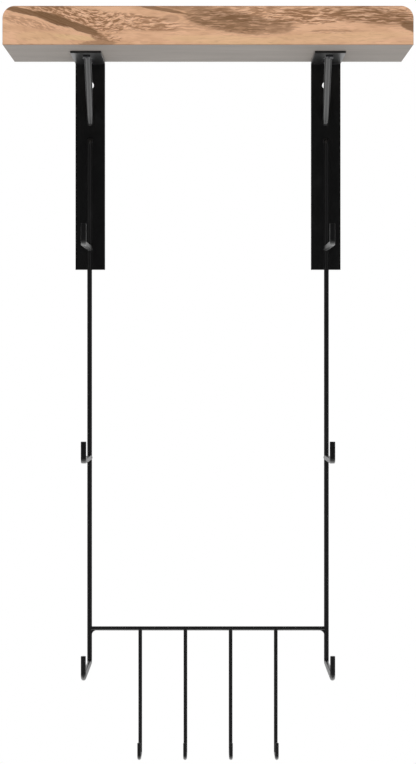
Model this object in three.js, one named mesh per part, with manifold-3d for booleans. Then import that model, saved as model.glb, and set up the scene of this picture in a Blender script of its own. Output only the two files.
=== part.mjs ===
// Wall-hung shelf rack with hooks.
//
// A thick wooden board sits on two steel angle brackets. Each bracket carries a hanging side rod with an
// upper hook, a middle hook and a bottom hook. A cross bar ties the rods together near their lower ends
// and carries a row of hooked prongs.
//
// Millimetres. +X to the right, +Y into the wall, +Z up. The origin is the centre of the board's back
// face, on the wall plane.

import * as THREE from 'three';
import { mergeVertices } from 'three/addons/utils/BufferGeometryUtils.js';
import Module from 'manifold-3d';

const wasm = await Module();
wasm.setup();

// Driving dimensions. A "drop" is measured down from the board's underside, a "reach" out from the wall.
const fitGap = 0.3;                 // left between pieces that touch

const boardWidth = 400;
const boardDepth = 150;
const boardThickness = 38;
const boardEdgeRadius = 12;         // the two upper edges that run front to back

const bracketSpacing = 243.2;       // centre to centre
const stripWidth = 30.5;            // the flat bar both brackets are bent from
const stripThickness = 2;
const stripBendRadius = 0.4;        // inside of the bend
const plateLength = 215;
const flangeReach = 100;
const wallHoleDiameter = 7.4;
const wallHoleDrop = 24.5;

const rearScrewInset = 28;          // from the wall
const frontScrewInset = 20;         // from the flange's front end
const screwShankDiameter = 4;
const screwLength = 20;
const screwHeadDiameter = 8;
const screwHeadHeight = 2.4;

const braceDiameter = 7.1;
const braceReach = 54;              // where its axis meets the flange
const braceDrop = 60;               // where its axis meets the plate

const rodDiameter = 4.5;
const rodReach = 15.6;
const rodTopClearance = 22;         // from the brace's foot down to the rod's welded end
const rodBendRadius = 5;            // on the centre line, as are all bend radii below

const hookWidth = 5.3;
const hookHeight = 4.5;
const hookCornerRadius = 1;
const hookBendRadius = 3.6;
const hookReach = 120;
const hookTipHeight = 21.7;         // overall, from under the bar to the top of the tip
const hookSplay = 1;                // how far each tip stands outward of its root
const upperHookRise = 22;           // above the plate's lower end
const middleHookSpacing = 215;      // below the upper hook
const bottomHookSpacing = 211;      // below the middle hook

const bottomHookReach = 144;
const bottomHookTipHeight = 24.5;

const hookRise = 1.2;               // how far every hook climbs from root to tip

const crossBarDiameter = 3.9;
const crossBarRise = 35.3;          // above the bottom hooks

const prongCount = 4;
const prongSpacing = 46.4;
const prongDiameter = 3.4;
const prongBendRadius = 3.4;
const prongLength = 128.3;          // below the cross bar's axis
const prongReach = 56;
const prongTipHeight = 17.6;

// Facets: sides of a round section and of a hole, and steps in one bend.
const roundSides = 16;
const holeSides = 32;
const bendSteps = 6;

// Levels that several pieces share.
const underside = -boardThickness / 2;
const flangeTop = underside - fitGap;
const flangeUnderside = flangeTop - stripThickness;
const plateFront = -stripThickness;
const rodTopDrop = braceDrop + rodTopClearance;
const upperHookDrop = plateLength - upperHookRise;
const middleHookDrop = upperHookDrop + middleHookSpacing;
const bottomHookDrop = middleHookDrop + bottomHookSpacing;
const crossBarDrop = bottomHookDrop - crossBarRise;
const prongDrop = crossBarDrop + prongLength;
const screwReaches = { rear: rearScrewInset, front: flangeReach - frontScrewInset };

const woodMaterial = new THREE.MeshStandardMaterial({ color: 0xcba27f, roughness: 0.62, metalness: 0 });
const coatMaterial = new THREE.MeshStandardMaterial({ color: 0x141415, roughness: 0.48, metalness: 0.1 });
const screwMaterial = new THREE.MeshStandardMaterial({ color: 0x1c1c1e, roughness: 0.4, metalness: 0.6 });

function level(drop) {
  return underside - drop;
}

// ---------------------------------------------------------------------------------------------------
// Solids

function toSolid(geometry) {
  const bare = geometry.clone();
  bare.deleteAttribute('normal');
  bare.deleteAttribute('uv');
  const welded = mergeVertices(bare, 1e-5);
  return new wasm.Manifold(new wasm.Mesh({
    numProp: 3,
    vertProperties: new Float32Array(welded.attributes.position.array),
    triVerts: new Uint32Array(welded.index.array),
  }));
}

function toGeometry(solid) {
  const mesh = solid.getMesh();
  const geometry = new THREE.BufferGeometry();
  geometry.setAttribute('position', new THREE.BufferAttribute(mesh.vertProperties, 3));
  geometry.setIndex(new THREE.BufferAttribute(mesh.triVerts, 1));
  geometry.computeVertexNormals();
  return geometry;
}

function cut(geometry, tools) {
  let solid = toSolid(geometry);
  for (const tool of tools) {
    solid = solid.subtract(toSolid(tool));
  }
  return toGeometry(solid);
}

// A cylinder centred on a point, with its axis along the given direction.
function cylinder(diameter, length, centre, direction, facets = roundSides) {
  const geometry = new THREE.CylinderGeometry(diameter / 2, diameter / 2, length, facets);
  const turn = new THREE.Quaternion().setFromUnitVectors(new THREE.Vector3(0, 1, 0), direction.clone().normalize());
  geometry.applyQuaternion(turn);
  geometry.translate(centre.x, centre.y, centre.z);
  return geometry;
}

// ---------------------------------------------------------------------------------------------------
// Bent bars

// The centre line of a bent bar: straight runs between corner points, with a round bend at each inner
// corner. Its stations stand only at the ends and in the bends, so straight runs cost no extra facets.
class BentLine extends THREE.Curve {
  constructor(corners, bendRadius) {
    super();
    this.stations = [];
    const last = corners.length - 1;
    const runs = corners.slice(1).map((corner, i) => corner.clone().sub(corners[i]).normalize());
    this.addStation(corners[0], runs[0]);
    for (let i = 1; i < last; i += 1) {
      this.addBend(corners[i], runs[i - 1], runs[i], bendRadius);
    }
    this.addStation(corners[last], runs[last - 1]);
  }

  addStation(point, tangent) {
    this.stations.push({ point: point.clone(), tangent: tangent.clone().normalize() });
  }

  addBend(corner, into, outOf, radius) {
    const turn = into.angleTo(outOf);
    const inward = outOf.clone().addScaledVector(into, -Math.cos(turn)).normalize();
    const start = corner.clone().addScaledVector(into, -radius * Math.tan(turn / 2));
    const centre = start.clone().addScaledVector(inward, radius);
    for (let step = 0; step <= bendSteps; step += 1) {
      const angle = turn * step / bendSteps;
      const point = centre.clone()
        .addScaledVector(inward, -radius * Math.cos(angle))
        .addScaledVector(into, radius * Math.sin(angle));
      const tangent = into.clone().multiplyScalar(Math.cos(angle)).addScaledVector(inward, Math.sin(angle));
      this.addStation(point, tangent);
    }
  }

  stationAt(t) {
    return this.stations[Math.round(t * (this.stations.length - 1))];
  }

  getPoint(t, target = new THREE.Vector3()) {
    return target.copy(this.stationAt(t).point);
  }

  getTangent(t, target = new THREE.Vector3()) {
    return target.copy(this.stationAt(t).tangent);
  }

  getUtoTmapping(u) {
    return u;
  }
}

function roundSection(diameter) {
  return new THREE.Shape().absarc(0, 0, diameter / 2, 0, 2 * Math.PI);
}

function cornerArc(shape, x, y, radius, startAngle) {
  shape.absarc(x, y, radius, startAngle, startAngle + Math.PI / 2);
}

function roundedRectangle(width, height, radius) {
  const x = width / 2 - radius;
  const y = height / 2 - radius;
  const shape = new THREE.Shape();
  shape.moveTo(width / 2, -y);
  cornerArc(shape, x, y, radius, 0);
  cornerArc(shape, -x, y, radius, Math.PI / 2);
  cornerArc(shape, -x, -y, radius, Math.PI);
  cornerArc(shape, x, -y, radius, 1.5 * Math.PI);
  return shape;
}

function bentBar(section, corners, bendRadius, arcSteps) {
  const line = new BentLine(corners, bendRadius);
  return new THREE.ExtrudeGeometry(section, {
    steps: line.stations.length - 1,
    curveSegments: arcSteps,
    extrudePath: line,
    bevelEnabled: false,
  });
}

// ---------------------------------------------------------------------------------------------------
// The model

const rack = new THREE.Group();

function add(name, geometry, material) {
  const mesh = new THREE.Mesh(geometry, material);
  mesh.name = name;
  rack.add(mesh);
  return mesh;
}

const sides = [
  { name: 'left', x: -bracketSpacing / 2, outward: -1 },
  { name: 'right', x: bracketSpacing / 2, outward: 1 },
];

const screwHoleDiameter = screwShankDiameter + 2 * fitGap;

function shelfBoard() {
  const half = boardWidth / 2;
  const top = boardThickness / 2;
  const outline = new THREE.Shape();
  outline.moveTo(-half, -top);
  outline.lineTo(half, -top);
  cornerArc(outline, half - boardEdgeRadius, top - boardEdgeRadius, boardEdgeRadius, 0);
  cornerArc(outline, boardEdgeRadius - half, top - boardEdgeRadius, boardEdgeRadius, Math.PI / 2);
  const board = new THREE.ExtrudeGeometry(outline, {
    depth: boardDepth,
    curveSegments: 8,
    bevelEnabled: false,
  });
  board.rotateX(Math.PI / 2);

  // A blind pilot hole above each shelf screw.
  const up = new THREE.Vector3(0, 0, 1);
  const tipLevel = flangeUnderside + screwLength + fitGap;
  const holeBottom = underside - 1;
  const holes = [];
  for (const side of sides) {
    for (const reach of Object.values(screwReaches)) {
      const centre = new THREE.Vector3(side.x, -reach, (tipLevel + holeBottom) / 2);
      holes.push(cylinder(screwHoleDiameter, tipLevel - holeBottom, centre, up, holeSides));
    }
  }
  return cut(board, holes);
}

// An L of flat bar: the wall plate and the flange under the board.
function bracket(x) {
  const outerRadius = stripBendRadius + stripThickness;
  const bendCentre = new THREE.Vector2(-outerRadius, flangeTop - outerRadius);
  const plateEnd = level(plateLength);
  const profile = new THREE.Shape();
  profile.moveTo(plateFront, plateEnd);
  profile.lineTo(0, plateEnd);
  profile.absarc(bendCentre.x, bendCentre.y, outerRadius, 0, Math.PI / 2);
  profile.lineTo(-flangeReach, flangeTop);
  profile.lineTo(-flangeReach, flangeUnderside);
  profile.absarc(bendCentre.x, bendCentre.y, stripBendRadius, Math.PI / 2, 0, true);
  const strip = new THREE.ExtrudeGeometry(profile, {
    depth: stripWidth,
    curveSegments: bendSteps,
    bevelEnabled: false,
  });
  strip.applyMatrix4(new THREE.Matrix4().makeBasis(
    new THREE.Vector3(0, 1, 0),
    new THREE.Vector3(0, 0, 1),
    new THREE.Vector3(1, 0, 0),
  ));
  strip.translate(x - stripWidth / 2, 0, 0);

  const through = 4 * stripThickness;
  const wallHoleCentre = new THREE.Vector3(x, plateFront / 2, level(wallHoleDrop));
  const holes = [cylinder(wallHoleDiameter, through, wallHoleCentre, new THREE.Vector3(0, 1, 0), holeSides)];
  for (const reach of Object.values(screwReaches)) {
    const centre = new THREE.Vector3(x, -reach, flangeUnderside + stripThickness / 2);
    holes.push(cylinder(screwHoleDiameter, through, centre, new THREE.Vector3(0, 0, 1), holeSides));
  }
  return cut(strip, holes);
}

// A round bar across the L, trimmed flush with the flange and the plate.
function brace(x) {
  const top = new THREE.Vector3(x, -braceReach, flangeUnderside);
  const foot = new THREE.Vector3(x, plateFront, level(braceDrop));
  const axis = top.clone().sub(foot);
  const middle = top.clone().add(foot).multiplyScalar(0.5);
  const bar = cylinder(braceDiameter, axis.length() + 4 * braceDiameter, middle, axis);

  const room = new THREE.BoxGeometry(2 * braceDiameter, boardDepth, plateLength);
  room.translate(x, plateFront - fitGap - boardDepth / 2, flangeUnderside - fitGap - plateLength / 2);
  return toGeometry(toSolid(bar).intersect(toSolid(room)));
}

// A wood screw standing under the flange, its head below and its shank up in the board.
function shelfScrew() {
  const headTop = flangeUnderside - fitGap;
  const shankRadius = screwShankDiameter / 2;
  const headRadius = screwHeadDiameter / 2;
  const tipLevel = flangeUnderside + screwLength;
  const profile = [
    new THREE.Vector2(0, headTop - screwHeadHeight),
    new THREE.Vector2(0.6 * headRadius, headTop - screwHeadHeight),
    new THREE.Vector2(0.9 * headRadius, headTop - 0.7 * screwHeadHeight),
    new THREE.Vector2(headRadius, headTop - 0.25 * screwHeadHeight),
    new THREE.Vector2(headRadius, headTop),
    new THREE.Vector2(shankRadius, headTop),
    new THREE.Vector2(shankRadius, tipLevel - screwShankDiameter),
    new THREE.Vector2(0, tipLevel),
  ];
  const screw = new THREE.LatheGeometry(profile, roundSides);
  screw.rotateX(Math.PI / 2);
  return screw;
}

// The corner points of a hook: from its root, out to the tip's line, and up to the tip's end.
function hookCorners(root, tipReach, barHeight, tipHeight) {
  const elbow = new THREE.Vector3(root.x, -tipReach, root.z + hookRise);
  const tip = elbow.clone();
  tip.z += tipHeight - barHeight / 2;
  return [root, elbow, tip];
}

// A round rod: out from the plate, down past the hooks, and forward to its own bottom hook.
function sideRod(x) {
  const weldedEnd = new THREE.Vector3(x, plateFront - fitGap, level(rodTopDrop));
  const shoulder = new THREE.Vector3(x, -rodReach, level(rodTopDrop));
  const heel = new THREE.Vector3(x, -rodReach, level(bottomHookDrop));
  const corners = [
    weldedEnd,
    shoulder,
    ...hookCorners(heel, bottomHookReach, rodDiameter, bottomHookTipHeight),
  ];
  return bentBar(roundSection(rodDiameter), corners, rodBendRadius, roundSides / 2);
}

// A square-section hook, modelled with its root on the rod's axis and turned about it by its splay.
function rodHook() {
  const root = new THREE.Vector3(0, -rodDiameter / 2 - fitGap, 0);
  const corners = hookCorners(root, hookReach - rodReach, hookHeight, hookTipHeight);
  return bentBar(roundedRectangle(hookWidth, hookHeight, hookCornerRadius), corners, hookBendRadius, 3);
}

// A short stud that holds the rod off the plate, behind the upper hook.
function rodSpacer(x) {
  const length = rodReach - rodDiameter / 2 - stripThickness - 2 * fitGap;
  const centre = new THREE.Vector3(x, plateFront - fitGap - length / 2, level(upperHookDrop));
  return cylinder(rodDiameter, length, centre, new THREE.Vector3(0, 1, 0));
}

function crossBar() {
  const length = bracketSpacing - rodDiameter - 2 * fitGap;
  const centre = new THREE.Vector3(0, -rodReach, level(crossBarDrop));
  return cylinder(crossBarDiameter, length, centre, new THREE.Vector3(1, 0, 0));
}

function prong(x) {
  const top = new THREE.Vector3(x, -rodReach, level(crossBarDrop) - crossBarDiameter / 2 - fitGap);
  const heel = new THREE.Vector3(x, -rodReach, level(prongDrop));
  const corners = [top, ...hookCorners(heel, prongReach, prongDiameter, prongTipHeight)];
  return bentBar(roundSection(prongDiameter), corners, prongBendRadius, roundSides / 2);
}

add('shelf_board', shelfBoard(), woodMaterial);

for (const side of sides) {
  add(`bracket_${side.name}`, bracket(side.x), coatMaterial);
  add(`brace_${side.name}`, brace(side.x), coatMaterial);
  add(`side_rod_${side.name}`, sideRod(side.x), coatMaterial);
  add(`rod_spacer_${side.name}`, rodSpacer(side.x), coatMaterial);

  for (const [height, drop] of Object.entries({ upper: upperHookDrop, middle: middleHookDrop })) {
    const hook = add(`${height}_hook_${side.name}`, rodHook(), coatMaterial);
    hook.position.set(side.x, -rodReach, level(drop));
    hook.rotation.z = side.outward * Math.atan2(hookSplay, hookReach - rodReach);
  }

  for (const [place, reach] of Object.entries(screwReaches)) {
    const screw = add(`shelf_screw_${side.name}_${place}`, shelfScrew(), screwMaterial);
    screw.position.set(side.x, -reach, 0);
  }
}

add('cross_bar', crossBar(), coatMaterial);

for (let i = 0; i < prongCount; i += 1) {
  const x = (i - (prongCount - 1) / 2) * prongSpacing;
  add(`prong_${i + 1}`, prong(x), coatMaterial);
}

export default rack;
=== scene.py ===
"""Wall shelf rack with hooks: the visual pieces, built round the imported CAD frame.

A thick board on two angle brackets, each with a round brace, a hanging rod, and forward hooks. A cross
bar ties the rods together and carries four hooked prongs. Lengths are metres. +X is to the right, +Y into
the wall, +Z up, and the origin is the centre of the board's back face.
"""

import math
import random

import bmesh
import bpy
from bmesh.types import BMEdge, BMFace, BMVert
from bpy.props import FloatProperty, FloatVectorProperty, IntProperty, PointerProperty
from mathutils import Matrix, Vector


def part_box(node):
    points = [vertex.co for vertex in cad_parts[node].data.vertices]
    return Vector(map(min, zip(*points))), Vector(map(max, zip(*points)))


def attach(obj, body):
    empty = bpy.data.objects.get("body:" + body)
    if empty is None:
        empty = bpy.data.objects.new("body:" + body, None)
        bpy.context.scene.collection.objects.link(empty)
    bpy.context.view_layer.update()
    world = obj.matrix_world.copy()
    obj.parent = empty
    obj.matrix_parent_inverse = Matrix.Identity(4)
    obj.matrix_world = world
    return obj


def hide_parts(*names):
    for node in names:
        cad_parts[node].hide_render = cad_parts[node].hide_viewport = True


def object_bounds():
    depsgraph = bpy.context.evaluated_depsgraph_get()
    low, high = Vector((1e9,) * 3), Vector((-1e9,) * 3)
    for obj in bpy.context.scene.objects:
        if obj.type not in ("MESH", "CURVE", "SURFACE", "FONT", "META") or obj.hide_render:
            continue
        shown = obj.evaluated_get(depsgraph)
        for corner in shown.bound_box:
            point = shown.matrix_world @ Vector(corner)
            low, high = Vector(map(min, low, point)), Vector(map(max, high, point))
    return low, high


bl_info = {
    "name": "Wall Shelf Rack",
    "version": (1, 0, 0),
    "blender": (4, 5, 0),
    "location": "3D View > Sidebar > Rack",
    "description": "Builds the visual pieces of a wall shelf rack with hooks round its CAD frame",
    "category": "Object",
}

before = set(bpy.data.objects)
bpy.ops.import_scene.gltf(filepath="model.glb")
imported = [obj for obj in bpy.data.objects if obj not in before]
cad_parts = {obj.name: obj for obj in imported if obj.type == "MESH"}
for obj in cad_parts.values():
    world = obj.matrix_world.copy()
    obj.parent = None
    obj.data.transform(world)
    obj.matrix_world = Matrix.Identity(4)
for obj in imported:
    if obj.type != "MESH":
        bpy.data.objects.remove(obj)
cad_low, cad_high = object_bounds()

MM = 0.001
FIT_GAP = 0.3 * MM              # left by the CAD frame between pieces that touch
MERGE_DISTANCE = 0.001 * MM
NEAR = 0.01 * MM                # how close a point on a surface may be to it
SHARP_ANGLE = 38.0              # degrees between two faces, from which their edge looks sharp
WELD_SEED = 7
WELD_RIPPLES = 14               # waves round a bead or a fillet

SIDES = {"left": -1, "right": 1}
HOOK_LEVELS = ("upper", "middle")
SCREW_PLACES = ("rear", "front")
PRONGS = sorted(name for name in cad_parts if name.startswith("prong_"))

X_AXIS = Vector((1, 0, 0))
Y_AXIS = Vector((0, 1, 0))
Z_AXIS = Vector((0, 0, 1))


def middle_of(node):
    """The centre of a CAD node's box."""
    low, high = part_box(node)
    return (low + high) / 2


def extent_of(node):
    """The three sides of a CAD node's box."""
    low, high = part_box(node)
    return high - low


# ------------------------------
# Settings


def length(name, description, default):
    """A length that the user may change."""
    return FloatProperty(name=name, description=description, default=default, min=0.0, unit="LENGTH",
                         precision=4)


def share(name, description, default, high=1.0):
    """A plain number from 0 to high."""
    return FloatProperty(name=name, description=description, default=default, min=0.0, max=high)


def colour(name, description, default):
    """A linear RGB colour."""
    return FloatVectorProperty(name=name, description=description, default=default, size=3, min=0.0,
                               max=1.0, subtype="COLOR")


class RackShape(bpy.types.PropertyGroup):
    """Sizes that the CAD frame's boxes don't give."""

    board_ease: length("Board edge easing", "Rounding of the board's square edges", 0.5 * MM)
    strip_ease: length("Strip edge easing", "Rounding of the bracket strip's edges", 0.35 * MM)
    end_ease: length("Bar end easing", "Rounding round the cut end of a rod, hook or prong", 0.4 * MM)
    coat: length("Coat build", "Thickness of the coat on a round bar", 0.2 * MM)
    overlap: length("Joint overlap", "How far a welded end runs on past the frame's fit gap", 0.5 * MM)
    brace_reach: length("Brace reach", "From the wall to where its axis meets the flange", 54 * MM)
    brace_drop: length("Brace drop", "From the board down to where its axis meets the plate", 60 * MM)
    rod_bend: length("Rod bend radius", "Centre-line radius of the side rod's bends", 5 * MM)
    hook_bend: length("Hook bend radius", "Centre-line radius of a square hook's bend", 3.6 * MM)
    hook_height: length("Hook bar height", "Height of the square hook bar", 4.5 * MM)
    hook_width: length("Hook bar width", "Width of the square hook bar", 5.3 * MM)
    hook_corner: length("Hook corner radius", "Rounding along the square hook bar", 1.0 * MM)
    hook_splay: length("Hook splay", "How far a hook's tip stands outward of its root", 1.0 * MM)
    hook_rise: length("Hook rise", "How far a hook climbs from its root to its tip", 1.2 * MM)
    bottom_tip: length("Bottom tip height", "Height of the bottom hook's tip", 24.5 * MM)
    prong_bend: length("Prong bend radius", "Centre-line radius of a prong's bend", 3.4 * MM)
    prong_tip: length("Prong tip height", "Height of a prong's tip", 17.6 * MM)
    corner_fillet: length("Corner fillet", "Radius of the fillet under the cross bar's ends", 5.2 * MM)
    bead: length("Weld bead", "Radius of the bead round a brace's ends", 0.55 * MM)
    flare: length("Weld flare", "Width of the fillet round a welded bar end", 0.9 * MM)
    sides: IntProperty(name="Round sides", description="Facets round a bar", default=32, min=12, max=64)
    bend_steps: IntProperty(name="Bend steps", description="Facets in one bend", default=12, min=4,
                            max=32)


class RackWood(bpy.types.PropertyGroup):
    """The board's colours and figure, and the grey painted shade under it."""

    light: colour("Light wood", "The palest wood", (0.70, 0.42, 0.263))
    tan: colour("Tan wood", "The common wood", (0.59, 0.345, 0.205))
    brown: colour("Brown streak", "The wavy streaks", (0.27, 0.14, 0.072))
    dark: colour("Dark figure", "The darkest figure", (0.15, 0.078, 0.036))
    pale: colour("Pale flecks", "The flecks between the streaks", (0.79, 0.50, 0.34))
    honey: colour("Honey wood", "The yellower patches", (0.66, 0.435, 0.237))
    # Grey painted on the underside: painted shade and painted reflection of the wood seen from below
    underside: colour("Painted underside shade", "Grey painted shade and reflection under the board", (0.180, 0.159, 0.141))
    roughness: share("Roughness", "Roughness of the matt clear coat", 0.6)


class RackCoat(bpy.types.PropertyGroup):
    """The black powder coat and the screws' finish."""

    black: colour("Black", "The coat's colour", (0.0048, 0.0048, 0.005))
    rubbed: colour("Rubbed black", "The coat where it is rubbed or dusty", (0.012, 0.012, 0.0125))
    roughness: share("Roughness", "Roughness of the coat", 0.31)
    gloss: share("Gloss", "Specular level of the coat", 0.8)
    screw: colour("Screw", "Colour of the screws", (0.02, 0.02, 0.022))


class RackStudio(bpy.types.PropertyGroup):
    """The camera, the lights and the floor."""

    distance: length("Camera distance", "From the wall plane to the camera", 2.55)
    level: FloatProperty(name="Camera level", description="Height of the camera above the origin",
                         default=-0.3003, unit="LENGTH", precision=4)
    lens: FloatProperty(name="Lens", description="Focal length in millimetres", default=116.25)
    shift: FloatProperty(name="Vertical shift", description="Shift of the camera's frame", default=-0.0628)
    floor_level: FloatProperty(name="Floor level", description="Height of the floor", default=-1.8,
                               unit="LENGTH")
    floor: colour("Floor", "Colour of the floor", (0.9, 0.9, 0.895))
    key: FloatProperty(name="Key light", description="Power of each front light in watts", default=12.0)
    top: FloatProperty(name="Top light", description="Power of the overhead light in watts", default=70.0)
    glow: share("Floor glow", "How brightly the floor shines, as if lit from below", 1.25, 4.0)
    rear_glow: share("Rear glow", "How many times brighter the rear floor is in reflections", 1.35, 4.0)
    back: share("Backdrop", "How bright the surroundings are straight behind the rack", 0.8, 4.0)
    front: share("Room", "How bright the room is round the camera", 0.16, 4.0)


# ------------------------------
# Finishes


def sum_of(operation, swapped=False):
    """A method that puts an Amount and another value through a Math node."""
    def method(self, other):
        values = (other, self) if swapped else (self, other)
        return self.graph.number(operation, *values)
    return method


class Amount:
    """A number that varies over a surface. It wraps a node's output, so that sums are written as sums."""

    def __init__(self, graph, socket):
        self.graph = graph
        self.socket = socket

    def __abs__(self):
        return self.graph.number("ABSOLUTE", self)

    __add__ = sum_of("ADD")
    __radd__ = sum_of("ADD", swapped=True)
    __sub__ = sum_of("SUBTRACT")
    __rsub__ = sum_of("SUBTRACT", swapped=True)
    __mul__ = sum_of("MULTIPLY")
    __rmul__ = sum_of("MULTIPLY", swapped=True)
    __truediv__ = sum_of("DIVIDE")


class Graph:
    """A node tree in the making, of a material or of the surroundings."""

    def __init__(self, owner):
        owner.use_nodes = True
        self.tree = owner.node_tree
        self.tree.nodes.clear()

    def node(self, kind, settings=None, inputs=None):
        """Adds a node: its settings come first, then the value or link of each socket."""
        made = self.tree.nodes.new(kind)
        for key, value in (settings or {}).items():
            setattr(made, key, value)
        for key, value in (inputs or {}).items():
            self.feed(made.inputs[key], value)
        return made

    def feed(self, socket, value):
        """Links a socket to an Amount or an output, or sets its value."""
        source = value.socket if isinstance(value, Amount) else value
        if isinstance(source, bpy.types.NodeSocket):
            self.tree.links.new(source, socket)
        elif hasattr(source, "__len__") and len(source) == 3 and len(socket.default_value) == 4:
            socket.default_value = (*source, 1.0)
        else:
            socket.default_value = source

    def number(self, operation, *values):
        """A Math node on one, two or three values."""
        made = self.node("ShaderNodeMath", {"operation": operation}, dict(enumerate(values)))
        return Amount(self, made.outputs[0])

    def light_path(self, output):
        """1 for the rays that a Light Path output names, and 0 for the others."""
        return Amount(self, self.node("ShaderNodeLightPath").outputs[output])

    def parts(self, vector):
        """The three numbers of a vector."""
        made = self.node("ShaderNodeSeparateXYZ", inputs={0: vector})
        return tuple(Amount(self, made.outputs[axis]) for axis in "XYZ")

    def place(self):
        """Object coordinates in millimetres, as three numbers."""
        source = self.node("ShaderNodeTexCoord").outputs["Object"]
        scaled = self.node("ShaderNodeVectorMath", {"operation": "SCALE"}, {0: source, "Scale": 1 / MM})
        return self.parts(scaled.outputs[0])

    def vector(self, x, y, z):
        """A vector from three numbers."""
        return self.node("ShaderNodeCombineXYZ", inputs={0: x, 1: y, 2: z}).outputs[0]

    def noise(self, point, detail, roughness, distortion=0.0):
        """Noise from 0 to 1 at a point of three numbers, with features about one unit across."""
        made = self.node("ShaderNodeTexNoise", inputs={
            "Vector": self.vector(*point), "Scale": 1.0, "Detail": detail, "Roughness": roughness,
            "Distortion": distortion})
        return Amount(self, made.outputs[0])

    def step(self, value, low, high):
        """Rises smoothly from 0 at low to 1 at high, or falls where low is above high."""
        rising = low < high
        made = self.node("ShaderNodeMapRange", {"interpolation_type": "SMOOTHSTEP"}, {
            "Value": value, "From Min": min(low, high), "From Max": max(low, high),
            "To Min": 0.0 if rising else 1.0, "To Max": 1.0 if rising else 0.0})
        return Amount(self, made.outputs[0])

    def blend(self, factor, first, second):
        """A colour between two colours."""
        made = self.node("ShaderNodeMix", {"data_type": "RGBA"}, {0: factor, 6: first, 7: second})
        return made.outputs[2]

    def bump(self, height, distance, strength):
        """A normal from a height between 0 and 1 that stands for a distance in metres."""
        made = self.node("ShaderNodeBump", inputs={
            "Height": height, "Distance": distance, "Strength": strength})
        return made.outputs[0]


class Finish(Graph):
    """A material in the making: a Principled shader and the nodes that feed it."""

    def __init__(self, name):
        self.material = bpy.data.materials.new(name)
        super().__init__(self.material)
        self.shader = self.node("ShaderNodeBsdfPrincipled")
        self.node("ShaderNodeOutputMaterial", inputs={"Surface": self.shader.outputs[0]})

    def surface(self, **sockets):
        """Feeds the shader. Underscores stand for spaces in a socket's name."""
        for key, value in sockets.items():
            self.feed(self.shader.inputs[key.replace("_", " ")], value)
        return self.material


# Dark figure in the board, seen on its front face: centre along the board and up it, half length, half
# height, turn in degrees, and strength. Millimetres from the middle of the face.
SOLID_FIGURE = (
    (-178, 13.4, 25, 2.9, 13, 0.95),
    (-149, 5.8, 25, 4.2, 17, 1.0),
    (-122, -2.8, 18, 3.6, 20, 0.95),
    (-105, -13.0, 11, 3.4, 30, 0.55),
    (-107, -17.6, 17, 2.8, -2, 0.55),
    (-46, 15.8, 25, 1.8, 10, 0.8),
    (-36, 6.6, 8, 3.8, 0, 0.3),
    (201, -1.8, 14, 5.0, 14, 0.9),
)
CLOUD_FIGURE = (
    (-2, 7.5, 20, 9.0, 10, 1.0),
    (26, 3.0, 38, 10.4, 7, 1.0),
    (60, -1.2, 25, 7.4, 0, 0.8),
    (166, 8.0, 46, 7.6, 7, 0.5),
    (-14, 17.0, 36, 3.0, 3, 0.7),
)

# Zones of wavy streaks, and patches of yellower wood, in the same terms.
STREAK_ZONES = (
    (-140, 13.0, 46, 7, 14, 1.0),
    (-108, 4.5, 30, 10, 14, 1.0),
    (-70, 3.0, 40, 8, 5, 0.85),
    (-98, -12.0, 16, 4, 10, 0.8),
    (-20, -1.0, 48, 4, 2, 0.4),
    (60, 10.0, 60, 8, 3, 0.8),
    (105, 10.5, 48, 8, -2, 1.0),
    (165, 10.0, 46, 9, 3, 1.0),
    (120, -6.0, 22, 2.4, 0, 0.6),
    (-172, 2.0, 30, 4, 14, 0.5),
)
HONEY_PATCHES = (
    (-130, -11.8, 22, 2.6, 5, 1.0),
    (20, -14.5, 60, 4.0, 2, 0.6),
    (-160, -12.0, 26, 6.0, 3, 0.4),
    (120, -12.0, 70, 5.0, -2, 0.4),
)


def figure_mask(finish, across, ragged, features):
    """How strongly any of the features shows, from 0 to 1, with edges that follow the grain."""
    mask = None
    for along, up, half_length, half_height, turn, strength in features:
        mapped = finish.node("ShaderNodeMapping", {"vector_type": "TEXTURE"}, {
            "Vector": across,
            "Location": (along, 0.0, up),
            "Rotation": (0.0, math.radians(turn), 0.0),
            "Scale": (half_length, 1.0, half_height)}).outputs[0]
        reach = finish.node("ShaderNodeVectorMath", {"operation": "LENGTH"}, {0: mapped}).outputs["Value"]
        inside = finish.step(Amount(finish, reach) + ragged, 1.16, 0.86) * strength
        mask = inside if mask is None else finish.number("MAXIMUM", mask, inside)
    return mask


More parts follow.
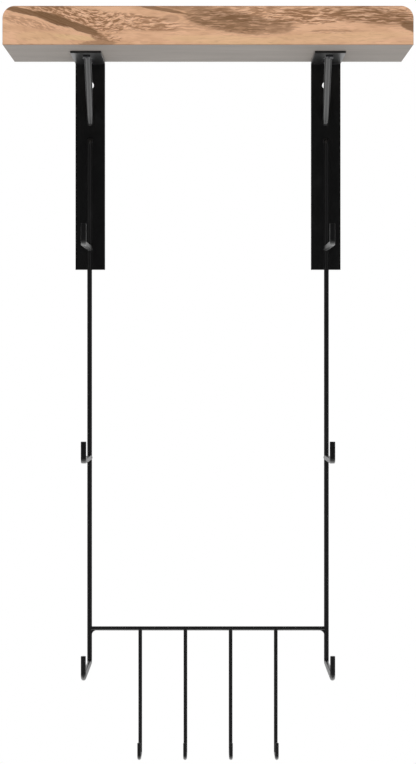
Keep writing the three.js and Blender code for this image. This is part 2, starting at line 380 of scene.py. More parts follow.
def wood_finish(wood):
    """Pale rustic board with wavy brown figure under a matt clear coat."""
    finish = Finish("rustic_wood")
    x, y, z = finish.place()
    low, high = (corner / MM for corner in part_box("shelf_board"))

    # The figure slants back through the board, so the top and the ends carry it on.
    slant = 0.25
    across = z + slant * (y - low.y)
    slow = finish.noise((x / 46.0, y / 60.0, across / 13.0), 2.0, 0.5) - 0.5
    quick = finish.noise((x / 8.0, y / 22.0, across / 4.2), 2.0, 0.55) - 0.5
    lean = 0.36 * finish.number("SMOOTH_MIN", x + 108.0, 0.0, 14.0) - 5.5 * finish.step(x, -112.0, -76.0)
    grain = across + lean + slow * 5.0 + quick * 2.4

    # Streaks and lines that follow the grain: short streaks at the left, and longer ones at the right.
    near = finish.number("SMOOTH_MIN", x + 70.0, 0.0, 30.0)
    run = near / 6.0 + (x - near) / 13.0
    tick = finish.noise((run, y / 26.0, grain / 1.4), 2.0, 0.45, 0.4)
    scratch = finish.noise((run * 1.5 + 7.0, y / 20.0, grain / 0.85), 2.0, 0.5, 0.3)
    line = finish.noise((x / 34.0, y / 60.0, grain / 0.62), 3.0, 0.6)
    pore = finish.noise((x / 5.5, y / 9.0, grain / 0.2), 2.0, 0.5)
    patch = finish.noise((x / 30.0, y / 34.0, across / 9.0), 3.0, 0.55)

    flat = finish.vector(x, 0.0, across + slow * 2.0)
    ragged = (tick - 0.5) * 0.7 + (line - 0.5) * 0.4
    broken = 1.0 - finish.step(tick, 0.5, 0.38) * 0.36 - finish.step(scratch, 0.48, 0.38) * 0.24
    solid = figure_mask(finish, flat, ragged, SOLID_FIGURE)
    clouded = figure_mask(finish, flat, ragged * 1.7, CLOUD_FIGURE) * broken
    dark = finish.number("MAXIMUM", solid, clouded * 0.88)
    streaked = figure_mask(finish, flat, (patch - 0.5) * 0.8, STREAK_ZONES)

    # Behind the front face the figure comes from noise alone.
    behind = finish.step(across, 20.0, 30.0)
    cloud = finish.noise((x / 62.0, y / 52.0, grain / 7.0), 3.0, 0.55, 0.4)
    dark = finish.number("MAXIMUM", dark, finish.step(cloud, 0.58, 0.72) * broken * behind * 0.75)
    streaked = finish.number("MAXIMUM", streaked, finish.step(cloud, 0.44, 0.62) * behind * 0.85)

    base = finish.blend(finish.step(patch + (line - 0.5) * 0.6, 0.36, 0.68), wood.light, wood.tan)
    honey = figure_mask(finish, flat, (patch - 0.5) * 0.8, HONEY_PATCHES)
    base = finish.blend(honey * 0.8, base, wood.honey)
    base = finish.blend(finish.step(tick, 0.46, 0.36) * streaked * 0.7, base, wood.pale)
    wavy = finish.number("MAXIMUM", finish.step(tick, 0.48, 0.57), finish.step(scratch, 0.5, 0.6) * 0.8)
    faint = finish.step(tick, 0.5, 0.68) * 0.2
    base = finish.blend(finish.number("MAXIMUM", wavy * streaked, faint), base, wood.brown)
    shade = finish.blend(dark * (0.94 + (line - 0.5) * 0.5), base, wood.dark)
    shade = finish.blend(finish.step(line, 0.6, 0.38) * 0.14, shade, wood.brown)
    shade = finish.blend(finish.step(pore, 0.66, 0.74) * 0.22, shade, wood.dark)

    # The cut ends and the front face's two long edges are a little darker.
    ends = finish.step(abs(x), high.x - 0.7, high.x - 0.2) * 0.22
    rim = finish.step(abs(z), high.z - 1.1, high.z - 0.3) * 0.5
    rim = rim * finish.step(y, low.y + 0.8, low.y + 0.4)
    shade = finish.blend(finish.number("MAXIMUM", ends, rim), shade, wood.dark)

    relief = line * 0.5 + pore * 0.35 + tick * 0.3
    return finish.surface(
        Base_Color=shade,
        Roughness=wood.roughness + (line - 0.5) * 0.18 - dark * 0.06,
        Specular_IOR_Level=0.25,
        Normal=finish.bump(relief, 0.2 * MM, 0.4))


def underside_shade_finish(wood):
    """Warm grey painted shade and painted reflection on the board's underside, standing for the wood in
    shade under a grazing sheen, with the grain just showing through.
    """
    finish = Finish("painted_underside_shade")
    x, y, z = finish.place()
    grain = finish.noise((x / 60.0, y / 1.1, z), 3.0, 0.6)
    patch = finish.noise((x / 90.0, y / 30.0, z), 2.0, 0.5)
    paler = tuple(min(1.0, part * 1.1) for part in wood.underside)
    deeper = tuple(part * 0.9 for part in wood.underside)
    shade = finish.blend(finish.step(grain * 0.6 + patch * 0.4, 0.35, 0.65), paler, deeper)
    return finish.surface(
        Base_Color=shade,
        Roughness=0.62 + (grain - 0.5) * 0.15,
        Specular_IOR_Level=0.3,
        Normal=finish.bump(grain, 0.12 * MM, 0.4))


def coat_finish(coat):
    """Black powder coat: a fine orange-peel texture, with slightly rubbed and dusty patches."""
    finish = Finish("black_powder_coat")
    x, y, z = finish.place()
    peel = finish.noise((x / 0.9, y / 0.9, z / 0.9), 2.0, 0.5)
    speckle = finish.noise((x / 0.35, y / 0.35, z / 0.35), 1.0, 0.5)
    rub = finish.noise((x / 14.0, y / 14.0, z / 22.0), 3.0, 0.6)
    worn = finish.step(rub + (speckle - 0.5) * 0.25, 0.56, 0.8)
    shade = finish.blend(worn * 0.6, coat.black, coat.rubbed)
    return finish.surface(
        Base_Color=shade,
        Roughness=coat.roughness + (rub - 0.5) * 0.1,
        Specular_IOR_Level=coat.gloss,
        Normal=finish.bump(peel, 0.02 * MM, 0.25))


def screw_finish(coat):
    """Black oxide on the screws, a little brighter on rubbed spots."""
    finish = Finish("black_screw")
    x, y, z = finish.place()
    rub = finish.noise((x / 2.0, y / 2.0, z / 2.0), 3.0, 0.6)
    fine = finish.noise((x / 0.25, y / 0.25, z / 0.25), 2.0, 0.5)
    bright = tuple(part * 4.0 for part in coat.screw)
    shade = finish.blend(finish.step(rub, 0.5, 0.75), coat.screw, bright)
    return finish.surface(
        Base_Color=shade,
        Metallic=0.6,
        Roughness=0.36 + (fine - 0.5) * 0.2,
        Normal=finish.bump(fine, 0.03 * MM, 0.4))


def floor_finish(studio):
    """A plain pale floor, barely mottled. Coats mirror it dark ahead of the rack and bright behind it."""
    finish = Finish("pale_floor")
    x, y, z = finish.place()
    mottle = finish.noise((x / 180.0, y / 180.0, z), 3.0, 0.5)
    deeper = tuple(part * 0.97 for part in studio.floor)
    mirrored = finish.light_path("Is Glossy Ray")
    dark_from = -250.0
    dark_at = -750.0
    ahead = finish.step(y, dark_from, dark_at) * mirrored
    shine = (1.0, 1.0, 0.995)
    behind = finish.blend(mirrored, shine, tuple(part * studio.rear_glow for part in shine))
    return finish.surface(
        Base_Color=finish.blend(mottle, studio.floor, deeper),
        Roughness=0.7 + (mottle - 0.5) * 0.1,
        Emission_Color=finish.blend(ahead, behind, (0.0, 0.0, 0.0)),
        Emission_Strength=studio.glow)


def material(name):
    """One of the rack's materials, made when it is first asked for."""
    scene = bpy.context.scene
    makers = {
        "rustic_wood": (wood_finish, scene.rack_wood),
        "painted_underside_shade": (underside_shade_finish, scene.rack_wood),
        "black_powder_coat": (coat_finish, scene.rack_coat),
        "black_screw": (screw_finish, scene.rack_coat),
        "pale_floor": (floor_finish, scene.rack_studio),
    }
    maker, settings = makers[name]
    return bpy.data.materials.get(name) or maker(settings)


# ------------------------------
# Mesh tools


def make_piece(name, bm, replaces=(), materials=("black_powder_coat",)):
    """Turns a bmesh into a finished piece that rides on the rack."""
    bmesh.ops.remove_doubles(bm, verts=bm.verts, dist=MERGE_DISTANCE)
    bmesh.ops.recalc_face_normals(bm, faces=bm.faces)
    mesh = bpy.data.meshes.new(name)
    bm.to_mesh(mesh)
    bm.free()
    for name_of_material in materials:
        mesh.materials.append(material(name_of_material))
    mesh.shade_smooth()
    mesh.set_sharp_from_angle(angle=math.radians(SHARP_ANGLE))
    piece = bpy.data.objects.new(name, mesh)
    bpy.context.scene.collection.objects.link(piece)
    weighted = piece.modifiers.new("even_shading", "WEIGHTED_NORMAL")
    weighted.keep_sharp = True
    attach(piece, "root")
    if replaces:
        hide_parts(*replaces)


def ease(bm, edges, offset, segments):
    """Rounds edges."""
    bmesh.ops.bevel(bm, geom=edges, offset=offset, segments=segments, affect="EDGES", profile=0.5,
                    material=-1, clamp_overlap=True)


def round_section(bm, radius, sides):
    """A flat round face at the origin, facing up."""
    made = bmesh.ops.create_circle(bm, cap_ends=True, radius=radius, segments=sides)
    return made["verts"][0].link_faces[0]


def square_section(bm, width, height, corner):
    """A flat rectangular face with rounded corners, at the origin, facing up."""
    made = bmesh.ops.create_grid(bm, x_segments=1, y_segments=1, size=0.5)
    bmesh.ops.scale(bm, vec=(width, height, 1.0), verts=made["verts"])
    rounded = bmesh.ops.bevel(bm, geom=made["verts"], offset=corner, segments=4, affect="VERTICES",
                              profile=0.5, material=-1)
    return rounded["verts"][0].link_faces[0]


def set_section(bm, face, start, along, across):
    """Moves a section to a bar's start, facing along its first run, with its own X laid across."""
    up = along.cross(across)
    turn = Matrix((across, up, along)).transposed().to_4x4()
    bmesh.ops.transform(bm, matrix=Matrix.Translation(start) @ turn, verts=face.verts[:])


def only(geometry, kind):
    """The points, edges or faces among a bmesh operator's results."""
    return [item for item in geometry if isinstance(item, kind)]


def edges_of(bm, verts):
    """The edges between some points, in the mesh's own order."""
    chosen = set(verts)
    return [edge for edge in bm.edges if chosen.issuperset(edge.verts)]


def spin(bm, geometry, centre, axis, angle, steps, merge=False):
    """Turns geometry round an axis, with faces from each place to the next. Returns the last place."""
    return bmesh.ops.spin(bm, geom=geometry, cent=centre, axis=axis, dvec=(0, 0, 0), angle=angle,
                          steps=steps, use_merge=merge, use_duplicate=False)["geom_last"]


def drop_old(bm, face, first):
    """Removes the face that a bar was drawn on from, unless it closes the bar's start."""
    if face.is_valid and face is not first:
        bmesh.ops.delete(bm, geom=[face], context="FACES_ONLY")


def draw_bar(bm, face, corners, bend_radius, bend_steps):
    """Draws a section along straight runs, with a round bend at each inner corner. Returns its end."""
    first = face
    runs = [after - before for before, after in zip(corners, corners[1:])]
    turns = [before.angle(after) for before, after in zip(runs, runs[1:])]
    setbacks = [0.0, *(bend_radius * math.tan(turn / 2) for turn in turns), 0.0]
    for index, run in enumerate(runs):
        along = run.normalized()
        straight = along * (run.length - setbacks[index] - setbacks[index + 1])
        drawn = bmesh.ops.extrude_face_region(bm, geom=[face])["geom"]
        drop_old(bm, face, first)
        face = only(drawn, BMFace)[0]
        bmesh.ops.translate(bm, vec=straight, verts=face.verts[:])
        if index < len(turns):
            onward = runs[index + 1].normalized()
            inward = (onward - along * along.dot(onward)).normalized()
            centre = face.calc_center_median() + inward * bend_radius
            bent = spin(bm, [face], centre, along.cross(onward).normalized(), turns[index], bend_steps)
            drop_old(bm, face, first)
            face = only(bent, BMFace)[0]
    return face


def round_bar(shape, radius, corners, facing, across, bend_radius=0.0, eased=False):
    """A bmesh of a round bar, which starts square to a direction. The rim of its far end may be eased."""
    bm = bmesh.new()
    section = round_section(bm, radius, shape.sides)
    set_section(bm, section, corners[0], facing, across)
    end = draw_bar(bm, section, corners, bend_radius, shape.bend_steps)
    if eased:
        ease(bm, end.edges[:], shape.end_ease, 3)
    return bm


def hook_line(root, tip_reach, rise, tip_height):
    """The corners of a hook: its root, the elbow under its tip, and the tip's end."""
    elbow = Vector((root.x, -tip_reach, root.z + rise))
    return [root, elbow, elbow + Z_AXIS * tip_height]


def lathe(bm, profile, axis_point, axis, steps, closed=False):
    """Turns a run of points, or a closed loop of them, right round an axis. Returns the new points."""
    corners = [bm.verts.new(point) for point in profile]
    pairs = list(zip(corners, corners[1:]))
    if closed:
        pairs.append((corners[-1], corners[0]))
    edges = [bm.edges.new(pair) for pair in pairs]
    before = set(bm.verts) - set(corners)
    spin(bm, corners + edges, axis_point, axis, math.tau, steps, merge=True)
    return [vert for vert in bm.verts if vert not in before]


def aim(normal):
    """A turn that takes +Z to a direction."""
    return Z_AXIS.rotation_difference(normal).to_matrix().to_4x4()


def add_collar(bm, centre, normal, radius, flare, steps, stretch, ripple):
    """A concave weld fillet round a bar that stands on a surface. The bar runs off along the normal."""
    arc_steps = 5
    root_depth = 0.3 * MM
    arc = []
    for step in range(arc_steps + 1):
        angle = math.pi / 2 * step / arc_steps
        arc.append(Vector((radius + flare * (1 - math.cos(angle)), 0, flare * (1 - math.sin(angle)))))
    inner = 0.5 * radius
    profile = [*arc, Vector((radius + flare, 0, -root_depth)), Vector((inner, 0, -root_depth)),
               Vector((inner, 0, flare))]
    verts = lathe(bm, profile, (0, 0, 0), Z_AXIS, steps, closed=True)
    finish_weld(bm, verts, centre, normal, stretch, ripple, radius)


def add_bead(bm, centre, normal, radius, thickness, steps, stretch, ripple):
    """A round weld bead that follows a ring in the plane square to the normal."""
    before = set(bm.verts)
    section = bmesh.ops.create_circle(bm, cap_ends=False, radius=thickness, segments=10)["verts"]
    bmesh.ops.rotate(bm, verts=section, cent=(0, 0, 0), matrix=Matrix.Rotation(math.pi / 2, 3, "X"))
    bmesh.ops.translate(bm, vec=(radius, 0, 0), verts=section)
    spin(bm, section + edges_of(bm, section), (0, 0, 0), Z_AXIS, math.tau, steps, merge=True)
    verts = [vert for vert in bm.verts if vert not in before]
    finish_weld(bm, verts, centre, normal, stretch, ripple, radius)


def finish_weld(bm, verts, centre, normal, stretch, ripple, radius):
    """Gives a weld its ripples, stretches it to an oval, and puts it in place."""
    clear_of_bar = 0.05 * MM
    generator, depth = ripple
    phase = generator.uniform(0, math.tau)
    for vert in verts:
        around = math.atan2(vert.co.y, vert.co.x)
        from_bar = math.hypot(vert.co.x, vert.co.y) - radius
        if from_bar > clear_of_bar:
            even = depth * math.sin(WELD_RIPPLES * around + phase)
            wave = 1.0 + even + generator.uniform(-1, 1) * depth / 2
            swell = radius + from_bar * wave
            vert.co.x = swell * math.cos(around)
            vert.co.y = swell * math.sin(around)
    oval = Matrix.Diagonal((*stretch, 1.0, 1.0))
    bmesh.ops.transform(bm, matrix=Matrix.Translation(centre) @ aim(normal) @ oval, verts=verts)


def cad_copy(node):
    """A bmesh of a CAD node's shape, merged, with its flat faces whole."""
    bm = bmesh.new()
    bm.from_mesh(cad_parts[node].data)
    bmesh.ops.remove_doubles(bm, verts=bm.verts, dist=0.005 * MM)
    bmesh.ops.dissolve_limit(bm, angle_limit=math.radians(1.0), verts=bm.verts, edges=bm.edges,
                             use_dissolve_boundaries=False)
    return bm


def sharp_edges(bm):
    """The edges whose faces meet at more than 40 degrees."""
    limit = math.radians(40.0)
    return [edge for edge in bm.edges if edge.is_manifold and edge.calc_face_angle() > limit]


# ------------------------------
# Pieces


class RACK_OT_board(bpy.types.Operator):
    """The thick wooden board, with its eased edges and its underside in grey painted shade and reflection
    """

    bl_idname = "rack.board"
    bl_label = "Board"

    def execute(self, context):
        shape = context.scene.rack_shape
        bm = cad_copy("shelf_board")
        low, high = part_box("shelf_board")
        outer = [edge for edge in sharp_edges(bm)
                 if all(self.on_skin(vert.co, low, high) for vert in edge.verts)]
        ease(bm, outer, shape.board_ease, 3)
        # The faces underneath take the grey painted shade and reflection.
        close_under = low.z + 0.2 * MM
        for face in bm.faces:
            under = face.normal.z < -0.9 and face.calc_center_median().z < close_under
            face.material_index = 1 if under else 0
        make_piece("wood_board", bm, ("shelf_board",), ("rustic_wood", "painted_underside_shade"))
        return {"FINISHED"}

    @staticmethod
    def on_skin(point, low, high):
        """Whether a point is on the front, the back or an end of the board."""
        return min(abs(point[axis] - corner[axis]) for axis in (0, 1) for corner in (low, high)) < NEAR


class RACK_OT_brackets(bpy.types.Operator):
    """The two bent strips, each a wall plate and a flange, with their holes"""

    bl_idname = "rack.brackets"
    bl_label = "Brackets"

    def execute(self, context):
        shape = context.scene.rack_shape
        for side in SIDES:
            bm = cad_copy(f"bracket_{side}")
            ease(bm, sharp_edges(bm), shape.strip_ease, 3)
            make_piece(f"strip_{side}", bm, (f"bracket_{side}",))
        return {"FINISHED"}


class RACK_OT_braces(bpy.types.Operator):
    """The round braces, trimmed to the flange and the plate"""

    bl_idname = "rack.braces"
    bl_label = "Braces"

    def execute(self, context):
        shape = context.scene.rack_shape
        for side in SIDES:
            top, foot = self.ends(side, shape)
            axis = (foot - top).normalized()
            radius = extent_of(f"brace_{side}").x / 2
            run_on = axis * radius * 3
            bm = round_bar(shape, radius, [top - run_on, foot + run_on], axis, X_AXIS)
            depth = 0.2 * MM
            for point, normal in ((top + Z_AXIS * depth, Z_AXIS), (foot + Y_AXIS * depth, Y_AXIS)):
                parts = bm.verts[:] + bm.edges[:] + bm.faces[:]
                bmesh.ops.bisect_plane(bm, geom=parts, plane_co=point, plane_no=normal, clear_outer=True)
                open_edges = [edge for edge in bm.edges if edge.is_boundary]
                bmesh.ops.edgeloop_fill(bm, edges=open_edges)
            make_piece(f"brace_bar_{side}", bm, (f"brace_{side}",))
        return {"FINISHED"}

    @staticmethod
    def ends(side, shape):
        """Where a brace's axis meets the flange's underside and the plate's front."""
        low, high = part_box(f"brace_{side}")
        x = (low.x + high.x) / 2
        board_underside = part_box("shelf_board")[0].z
        top = Vector((x, -shape.brace_reach, high.z + FIT_GAP))
        foot = Vector((x, high.y + FIT_GAP, board_underside - shape.brace_drop))
        return top, foot


class RACK_OT_rods(bpy.types.Operator):
    """The hanging side rods with their own bottom hooks, and the studs behind them"""

    bl_idname = "rack.rods"
    bl_label = "Side rods"

    def execute(self, context):
        shape = context.scene.rack_shape
        rod_y = middle_of("cross_bar").y
        for side in SIDES:
            low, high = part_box(f"side_rod_{side}")
            radius = (high.x - low.x) / 2 + shape.coat
            x = (low.x + high.x) / 2
            heel = Vector((x, rod_y, low.z + radius))
            welded = Vector((x, high.y + shape.overlap, high.z - radius))
            shoulder = Vector((x, rod_y, high.z - radius))
            tip_height = shape.bottom_tip - radius
            corners = [welded, shoulder,
                       *hook_line(heel, -(low.y + radius), shape.hook_rise, tip_height)]
            bm = round_bar(shape, radius, corners, -Y_AXIS, X_AXIS, shape.rod_bend, eased=True)
            make_piece(f"rod_{side}", bm, (f"side_rod_{side}",))

            low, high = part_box(f"rod_spacer_{side}")
            radius = (high.z - low.z) / 2 + shape.coat
            start = Vector((x, high.y + shape.overlap, (low.z + high.z) / 2))
            finish = Vector((x, low.y - shape.overlap, start.z))
            bm = round_bar(shape, radius, [start, finish], -Y_AXIS, X_AXIS)
            make_piece(f"stud_{side}", bm, (f"rod_spacer_{side}",))
        return {"FINISHED"}


class RACK_OT_hooks(bpy.types.Operator):
    """The square-section hooks on the side rods"""

    bl_idname = "rack.hooks"
    bl_label = "Hooks"

    def execute(self, context):
        shape = context.scene.rack_shape
        rod_y = middle_of("cross_bar").y
        rod_radius = extent_of("rod_spacer_left").z / 2
        for side, outward in SIDES.items():
            for height in HOOK_LEVELS:
                node = f"{height}_hook_{side}"
                low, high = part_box(node)
                reach = rod_y - low.y - shape.hook_height / 2
                root = Vector((0, shape.overlap - rod_radius, 0))
                tip_height = high.z - low.z - shape.hook_rise - shape.hook_height / 2
                bm = bmesh.new()
                section = square_section(bm, shape.hook_width, shape.hook_height, shape.hook_corner)
                set_section(bm, section, root, -Y_AXIS, X_AXIS)
                corners = hook_line(root, reach, shape.hook_rise, tip_height)
                end = draw_bar(bm, section, corners, shape.hook_bend, shape.bend_steps)
                ease(bm, end.edges[:], shape.end_ease, 2)
                turn = Matrix.Rotation(outward * math.atan2(shape.hook_splay, reach), 4, "Z")
                x = middle_of(f"side_rod_{side}").x
                place = Matrix.Translation((x, rod_y, low.z + shape.hook_height / 2))
                bmesh.ops.transform(bm, matrix=place @ turn, verts=bm.verts)
                make_piece(f"hook_{height}_{side}", bm, (node,))
        return {"FINISHED"}


class RACK_OT_lower(bpy.types.Operator):
    """The cross bar and its four hooked prongs"""

    bl_idname = "rack.lower"
    bl_label = "Cross bar and prongs"

    def execute(self, context):
        shape = context.scene.rack_shape
        low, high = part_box("cross_bar")
        bar = (low + high) / 2
        run = X_AXIS * ((high.x - low.x) / 2 + shape.overlap + FIT_GAP)
        radius = (high.z - low.z) / 2 + shape.coat
        bm = round_bar(shape, radius, [bar - run, bar + run], X_AXIS, Y_AXIS)
        make_piece("tie_bar", bm, ("cross_bar",))

        for node in PRONGS:
            low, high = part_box(node)
            radius = (high.x - low.x) / 2 + shape.coat
            top = Vector(((low.x + high.x) / 2, bar.y, bar.z - radius * 0.5))
            heel = Vector((top.x, bar.y, low.z + radius))
            tip_height = shape.prong_tip - radius
            corners = [top, *hook_line(heel, -(low.y + radius), shape.hook_rise, tip_height)]
            bm = round_bar(shape, radius, corners, -Z_AXIS, X_AXIS, shape.prong_bend, eased=True)
            make_piece(f"hooked_{node}", bm, (node,))
        return {"FINISHED"}


class RACK_OT_screws(bpy.types.Operator):
    """The pan-head wood screws under the flanges, with a cross recess"""

    bl_idname = "rack.screws"
    bl_label = "Screws"

    def execute(self, context):
        for side in SIDES:
            for place in SCREW_PLACES:
                node = f"shelf_screw_{side}_{place}"
                low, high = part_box(node)
                bm = bmesh.new()
                self.turn_body(bm, low, high)
                self.cut_recess(bm, low, (high.x - low.x) / 2)
                make_piece(f"screw_{side}_{place}", bm, (node,), ("black_screw",))
        return {"FINISHED"}

    @staticmethod
    def turn_body(bm, low, high):
        """The head's curved side, its seat against the flange, and the shank."""
        centre = (low + high) / 2
        head = (high.x - low.x) / 2
        seat = low.z + 2.7 * MM
        shank = 2.0 * MM
        point_length = 4.0 * MM
        point = 0.25 * MM
        rim = 0.2 * MM
        outline = ((0.6 * head, low.z), (0.78 * head, low.z + 0.28 * MM), (0.92 * head, low.z + 0.8 * MM),
                   (0.99 * head, low.z + 1.5 * MM), (head, seat - rim), (head - rim, seat),
                   (shank, seat), (shank, high.z - point_length), (point, high.z))
        profile = [Vector((centre.x + out, centre.y, level)) for out, level in outline]
        profile.append(Vector((centre.x, centre.y, high.z)))
        lathe(bm, profile, (centre.x, centre.y, 0), Z_AXIS, 24)
        bmesh.ops.remove_doubles(bm, verts=bm.verts, dist=MERGE_DISTANCE)

    @staticmethod
    def cut_recess(bm, low, head):
        """A cross-shaped pocket in the head's face, bridged to its rim."""
        x = low.x + head
        y = low.y + head
        rim = [edge for edge in bm.edges if edge.is_boundary]
        arm_width = 1.1 * MM
        arm_length = 1.35 * MM
        depth = 1.3 * MM
        taper = 1.12
        floor = bmesh.ops.create_grid(bm, x_segments=1, y_segments=1, size=arm_width / 2)["verts"]
        for edge in edges_of(bm, floor):
            outward = ((edge.verts[0].co + edge.verts[1].co) / 2).normalized()
            arm = bmesh.ops.extrude_edge_only(bm, edges=[edge])["geom"]
            ends = only(arm, BMVert)
            bmesh.ops.translate(bm, vec=outward * arm_length, verts=ends)
            floor += ends
        outline = [edge for edge in edges_of(bm, floor) if edge.is_boundary]
        walls = bmesh.ops.extrude_edge_only(bm, edges=outline)["geom"]
        mouth = only(walls, BMVert)
        bmesh.ops.translate(bm, vec=(x, y, low.z + depth), verts=floor)
        bmesh.ops.scale(bm, vec=(taper, taper, 1.0), verts=mouth)
        bmesh.ops.translate(bm, vec=(x, y, low.z), verts=mouth)
        lip = [edge for edge in only(walls, BMEdge) if edge.is_boundary]
        bmesh.ops.bridge_loops(bm, edges=rim + lip)


class RACK_OT_welds(bpy.types.Operator):
    """The weld beads and fillets where bars meet"""

    bl_idname = "rack.welds"
    bl_label = "Welds"

    def execute(self, context):
        shape = context.scene.rack_shape
        generator = random.Random(WELD_SEED)
        rod_y = middle_of("cross_bar").y
        for side, outward in SIDES.items():
            bm = bmesh.new()
            self.brace_beads(bm, side, shape, generator)
            self.rod_collars(bm, side, shape, generator)
            self.hook_beads(bm, side, rod_y, shape, generator)
            make_piece(f"welds_{side}", bm)
            bm = bmesh.new()
            self.corner_fillet(bm, side, outward, shape)
            make_piece(f"corner_fillet_{side}", bm)
        bm = bmesh.new()
        bar = middle_of("cross_bar")
        bar_radius = extent_of("cross_bar").z / 2
        sunk = 0.25 * MM
        for node in PRONGS:
            radius = extent_of(node).x / 2
            top = Vector((middle_of(node).x, bar.y, bar.z - bar_radius + sunk))
            add_collar(bm, top, -Z_AXIS, radius, shape.flare, 24, (1.0, 0.8), (generator, 0.08))
        make_piece("prong_welds", bm)
        return {"FINISHED"}

    @staticmethod
    def brace_beads(bm, side, shape, generator):
        """Oval beads round both ends of a brace."""
        top, foot = RACK_OT_braces.ends(side, shape)
        radius = extent_of(f"brace_{side}").x / 2
        along = (foot - top).normalized()
        long_at_plate = 1.0 / abs(along.dot(Y_AXIS))
        long_at_flange = 1.0 / abs(along.dot(Z_AXIS))
        add_bead(bm, top, -Z_AXIS, radius, shape.bead, 40, (1.0, long_at_flange), (generator, 0.15))
        add_bead(bm, foot, -Y_AXIS, radius, shape.bead, 40, (1.0, long_at_plate), (generator, 0.15))

    @staticmethod
    def rod_collars(bm, side, shape, generator):
        """Fillets where the rod's top end and its stud stand on the plate."""
        low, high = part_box(f"side_rod_{side}")
        radius = (high.x - low.x) / 2
        plate_front = high.y + FIT_GAP
        x = (low.x + high.x) / 2
        for level in (high.z - radius, middle_of(f"rod_spacer_{side}").z):
            add_collar(bm, Vector((x, plate_front, level)), -Y_AXIS, radius, shape.flare, 28, (1.0, 1.0),
                       (generator, 0.1))

    @staticmethod
    def hook_beads(bm, side, rod_y, shape, generator):
        """Beads round the roots of the square hooks, and behind the upper one."""
        x = middle_of(f"side_rod_{side}").x
        rod_radius = extent_of(f"rod_spacer_{side}").z / 2
        bead = 0.6 * MM
        for height in HOOK_LEVELS:
            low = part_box(f"{height}_hook_{side}")[0]
            root = Vector((x, rod_y - rod_radius, low.z + shape.hook_height / 2))
            add_bead(bm, root, -Y_AXIS, shape.hook_height / 2, bead, 32, (1.06, 1.0), (generator, 0.12))
        behind = Vector((x, rod_y + rod_radius * 0.8, middle_of(f"rod_spacer_{side}").z))
        add_bead(bm, behind, Y_AXIS, rod_radius * 0.92, bead, 32, (1.0, 1.0), (generator, 0.12))

    @staticmethod
    def corner_fillet(bm, side, outward, shape):
        """The curved web in the lower corner between a rod and the cross bar."""
        bar = middle_of("cross_bar")
        bar_radius = extent_of("cross_bar").z / 2
        rod = middle_of(f"side_rod_{side}").x
        rod_radius = extent_of(f"side_rod_{side}").x / 2
        radius = shape.corner_fillet
        thickness = 2.6 * MM
        hollow_ease = 0.8 * MM
        face_x = rod - outward * rod_radius
        under = bar.z - bar_radius
        centre = Vector((face_x - outward * radius, bar.y - thickness / 2, under - radius))
        start = bm.verts.new((face_x, centre.y, centre.z))
        end = only(spin(bm, [start], centre, Y_AXIS, -outward * math.pi / 2, 10), BMVert)[0]
        corners = [bm.verts.new((end.co.x, centre.y, bar.z)), bm.verts.new((rod, centre.y, bar.z)),
                   bm.verts.new((rod, centre.y, start.co.z))]
        chain = [end, *corners, start]
        for before, after in zip(chain, chain[1:]):
            bm.edges.new((before, after))
        web = bmesh.ops.contextual_create(bm, geom=bm.edges[:])["faces"][0]
        drawn = bmesh.ops.extrude_face_region(bm, geom=[web])["geom"]
        bmesh.ops.translate(bm, vec=Y_AXIS * thickness, verts=only(drawn, BMFace)[0].verts[:])
        hollow = [edge for edge in bm.edges if edge.calc_face_angle(0.0) > math.radians(60)
                  and all(abs((vert.co - centre).xz.length - radius) < NEAR for vert in edge.verts)
                  and abs(edge.verts[0].co.y - edge.verts[1].co.y) < NEAR]
        ease(bm, hollow, hollow_ease, 3)


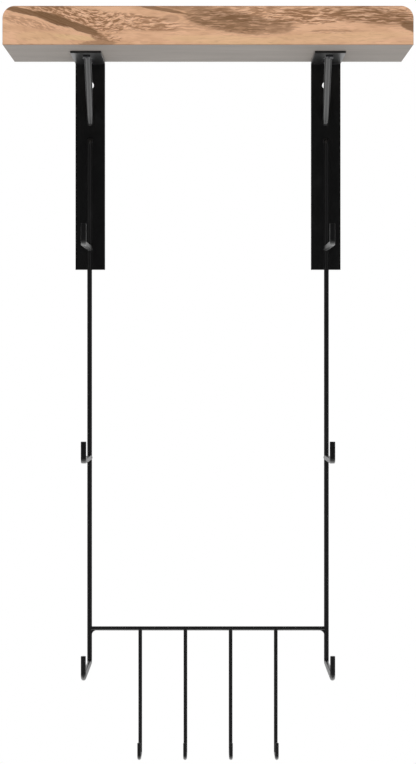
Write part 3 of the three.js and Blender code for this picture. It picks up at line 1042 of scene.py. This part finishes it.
class RACK_OT_studio(bpy.types.Operator):
    """The camera, the soft lights, the pale floor and the white surroundings"""

    bl_idname = "rack.studio"
    bl_label = "Studio"

    def execute(self, context):
        studio = context.scene.rack_studio
        self.add_camera(context, studio)
        self.add_floor(context, studio)
        upper_part = (cad_low + cad_high) / 2 * 0.3
        key_size = 1.0
        top_size = 2.4
        for side, outward in SIDES.items():
            place = (outward * 0.9, -1.6, 0.75)
            self.add_light(context, f"{side}_key", place, upper_part, key_size, studio.key)
        self.add_light(context, "top_light", (0, -0.9, 2.6), Vector((0, -0.9, 0)), top_size, studio.top)
        self.add_surroundings(context, studio)
        context.scene.view_settings.view_transform = "Standard"
        return {"FINISHED"}

    @staticmethod
    def add_camera(context, studio):
        """A level camera on the rack's centre line, with its frame shifted down."""
        data = bpy.data.cameras.new("camera")
        data.lens = studio.lens
        data.sensor_width = 36.0
        data.shift_y = studio.shift
        data.clip_end = 50.0
        camera = bpy.data.objects.new("camera", data)
        camera.location = (0, -studio.distance, studio.level)
        camera.rotation_euler = (math.pi / 2, 0, 0)
        context.scene.collection.objects.link(camera)
        context.scene.camera = camera

    @staticmethod
    def add_floor(context, studio):
        """A round floor well below the rack."""
        floor_radius = 3.2
        bm = bmesh.new()
        made = bmesh.ops.create_circle(bm, cap_ends=True, radius=floor_radius, segments=128)
        bmesh.ops.translate(bm, vec=Z_AXIS * studio.floor_level, verts=made["verts"])
        mesh = bpy.data.meshes.new("floor")
        bm.to_mesh(mesh)
        bm.free()
        mesh.materials.append(material("pale_floor"))
        floor = bpy.data.objects.new("floor", mesh)
        context.scene.collection.objects.link(floor)

    @staticmethod
    def add_light(context, name, location, target, size, power):
        """A square soft light that looks at a point. It isn't seen, and glossy coats don't mirror it."""
        data = bpy.data.lights.new(name, "AREA")
        data.size = size
        data.energy = power
        light = bpy.data.objects.new(name, data)
        light.location = location
        light.rotation_euler = (target - light.location).to_track_quat("-Z", "Y").to_euler()
        light.visible_camera = False
        light.visible_glossy = False
        context.scene.collection.objects.link(light)

    @staticmethod
    def add_surroundings(context, studio):
        """White seen straight on. As light, bright behind the rack and dim in front of it."""
        world = bpy.data.worlds.new("surroundings")
        graph = Graph(world)
        direction = graph.node("ShaderNodeTexCoord").outputs["Generated"]
        rearward = graph.parts(direction)[1]
        room = graph.step(rearward, -0.96, -0.84) * graph.step(rearward, -0.16, -0.48) * studio.front
        spread = room + graph.step(rearward, 0.6, 0.94) * studio.back
        strength = graph.number("MAXIMUM", spread, graph.light_path("Is Camera Ray"))
        background = graph.node("ShaderNodeBackground", inputs={
            "Color": (1.0, 1.0, 1.0), "Strength": strength})
        graph.node("ShaderNodeOutputWorld", inputs={"Surface": background.outputs[0]})
        context.scene.world = world


class RACK_PT_panel(bpy.types.Panel):
    """Lists the steps and the settings"""

    bl_idname = "RACK_PT_panel"
    bl_label = "Wall Shelf Rack"
    bl_space_type = "VIEW_3D"
    bl_region_type = "UI"
    bl_category = "Rack"

    def draw(self, context):
        for step in STEPS:
            self.layout.operator(step.bl_idname)
        for name, group in SETTINGS.items():
            box = self.layout.box()
            box.label(text=group.__name__)
            settings = getattr(context.scene, name)
            for key in group.__annotations__:
                box.prop(settings, key)


SETTINGS = {
    "rack_shape": RackShape,
    "rack_wood": RackWood,
    "rack_coat": RackCoat,
    "rack_studio": RackStudio,
}

STEPS = (
    RACK_OT_studio,
    RACK_OT_board,
    RACK_OT_brackets,
    RACK_OT_braces,
    RACK_OT_rods,
    RACK_OT_hooks,
    RACK_OT_lower,
    RACK_OT_screws,
    RACK_OT_welds,
)


CLASSES = (*SETTINGS.values(), *STEPS, RACK_PT_panel)


def register():
    for group in CLASSES:
        bpy.utils.register_class(group)
    for name, group in SETTINGS.items():
        setattr(bpy.types.Scene, name, PointerProperty(type=group))


def unregister():
    for name in SETTINGS:
        delattr(bpy.types.Scene, name)
    for group in reversed(CLASSES):
        bpy.utils.unregister_class(group)


def main():
    register()
    for step in STEPS:
        category, name = step.bl_idname.split(".")
        getattr(getattr(bpy.ops, category), name)()


if __name__ == "__main__":
    main()
